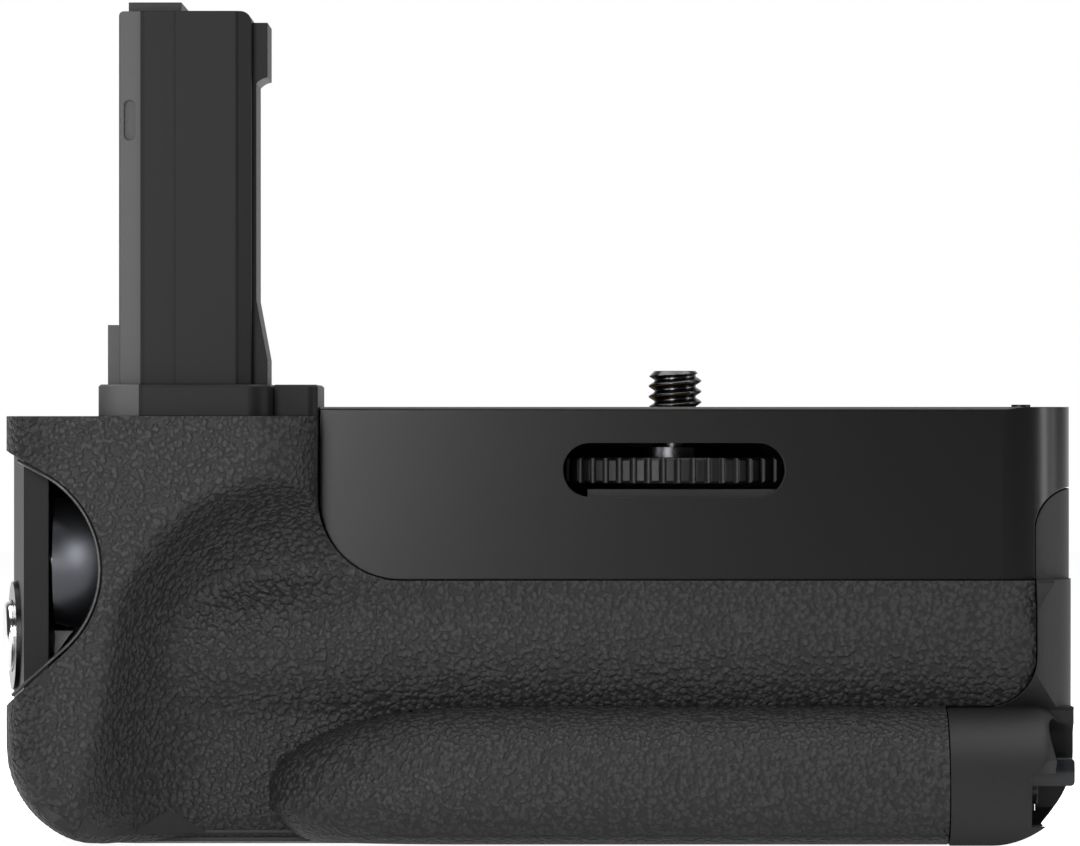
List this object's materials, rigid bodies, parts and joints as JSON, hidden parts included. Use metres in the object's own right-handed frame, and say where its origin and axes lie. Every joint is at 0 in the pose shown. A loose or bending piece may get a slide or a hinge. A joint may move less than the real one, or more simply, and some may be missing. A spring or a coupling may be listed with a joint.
{
  "type": "camera battery grip",
  "caption": "Battery grip that screws under a camera: battery-shaped plug tower, lock wheel, textured finger grip, end dial with release button, hinged battery door with tray.",
  "frame": {"origin": "camera screw axis where it crosses the top mating face", "axes": "+Z along the camera screw, up into the camera; +X to the right seen from the front; the front faces -Y"},
  "size_m": [0.1265, 0.0516, 0.0993],
  "materials": {
    "satin_plastic": "satin glass-filled moulding",
    "shell_plastic": "moulded shell under the rubber",
    "grip_rubber": "pebble-grain rubber",
    "base_metal": "fine blasted",
    "foot_rubber": "matt",
    "steel": "turned",
    "black_steel": "black oxide, glossy",
    "brass_bush": "turned",
    "inner_plastic": "moulded",
    "contact_metal": "gold plated",
    "board": "solder mask",
    "cable_film": "polyimide film",
    "plug_plastic": "satin moulding",
    "wheel_rubber": "moulded knurl",
    "dial_plastic": "semi gloss",
    "ring_metal": "black satin",
    "button_metal": "polished",
    "door_plastic": "pebble-grain and satin moulding",
    "pack_plastic": "smooth"
  },
  "bodies": {
    "body": {"upper_cover": "satin_plastic", "front_shell": "shell_plastic", "front_grip": "grip_rubber", "rear_shell": "satin_plastic", "rear_grip": "grip_rubber", "base_plate": "base_metal", "base_foot": "foot_rubber", "tripod_socket": "steel", "case_screws": "steel", "screw_bush": "brass_bush", "locating_bump": "satin_plastic", "battery_liner": "inner_plastic", "battery_contacts": "contact_metal", "main_board": "board", "plug_cable": "cable_film", "left_end_panel": "satin_plastic", "release_switch": "inner_plastic", "front_dial_axle": "steel", "rear_dial_axle": "steel", "hinge_pin": "steel", "latch_keeper": "steel", "plug_front_cover": "plug_plastic", "plug_rear_cover": "plug_plastic", "plug_catch": "plug_plastic", "plug_flange": "plug_plastic", "step_block": "plug_plastic", "contact_block": "inner_plastic", "contact_pins": "contact_metal"},
    "screw_and_wheel": {"camera_screw": "black_steel", "lock_wheel": "wheel_rubber"},
    "front_dial": {"front_dial": "dial_plastic"},
    "rear_dial": {"rear_dial": "wheel_rubber"},
    "power_ring": {"power_ring": "ring_metal"},
    "release_button": {"release_button": "button_metal"},
    "focus_button": {"focus_button": "dial_plastic"},
    "lock_button": {"lock_button": "dial_plastic"},
    "focus_lever": {"focus_lever": "dial_plastic"},
    "battery_door": {"battery_door": "door_plastic"},
    "door_latch": {"latch_knob": "dial_plastic", "latch_cam": "steel"},
    "battery_tray": {"battery_tray": "inner_plastic", "tray_contacts": "contact_metal", "battery_pack_1": "pack_plastic", "battery_pack_2": "pack_plastic"}
  },
  "joints": [
    {"name": "wheel_turn", "type": "hinge", "parent": "body", "child": "screw_and_wheel", "pos_m": [0, 0, -0.0075], "axis": [0, 0, 1], "continuous": true},
    {"name": "front_dial_turn", "type": "hinge", "parent": "body", "child": "front_dial", "pos_m": [-0.07, -0.0196, -0.0181], "axis": [1, 0, 0], "continuous": true},
    {"name": "rear_dial_turn", "type": "hinge", "parent": "body", "child": "rear_dial", "pos_m": [-0.069, 0.0146, -0.018], "axis": [1, 0, 0], "continuous": true},
    {"name": "power_ring_turn", "type": "hinge", "parent": "body", "child": "power_ring", "pos_m": [-0.07798, -0.0145, -0.027], "axis": [-0.9893, -0.1461, 0], "range_deg": [-35, 0]},
    {"name": "release_press", "type": "slide", "parent": "body", "child": "release_button", "axis": [0.9893, 0.1461, 0], "range_m": [0, 0.001], "stiffness_N_per_m": 1000, "springref_m": -0.0005},
    {"name": "focus_press", "type": "slide", "parent": "body", "child": "focus_button", "axis": [0, -1, 0], "range_m": [0, 0.0008], "stiffness_N_per_m": 1000, "springref_m": -0.0005},
    {"name": "lock_press", "type": "slide", "parent": "body", "child": "lock_button", "axis": [0, -1, 0], "range_m": [0, 0.0008], "stiffness_N_per_m": 1000, "springref_m": -0.0005},
    {"name": "focus_lever_turn", "type": "hinge", "parent": "body", "child": "focus_lever", "pos_m": [-0.053, 0.0206, -0.016], "axis": [0, 1, 0], "range_deg": [-15, 15]},
    {"name": "door_swing", "type": "hinge", "parent": "body", "child": "battery_door", "pos_m": [0.0443, 0.0181, -0.03], "axis": [0, 0, 1], "range_deg": [0, 100]},
    {"name": "latch_turn", "type": "hinge", "parent": "battery_door", "child": "door_latch", "pos_m": [0.041, -0.0205, -0.0427], "axis": [-1, 0, 0], "range_deg": [0, 90]},
    {"name": "tray_slide", "type": "slide", "parent": "body", "child": "battery_tray", "axis": [1, 0, 0], "range_m": [0, 0.003]}
  ],
  "couplings": [
    {"joint": "door_swing", "follows": "tray_slide", "rad_per_m": 581.78}
  ]
}
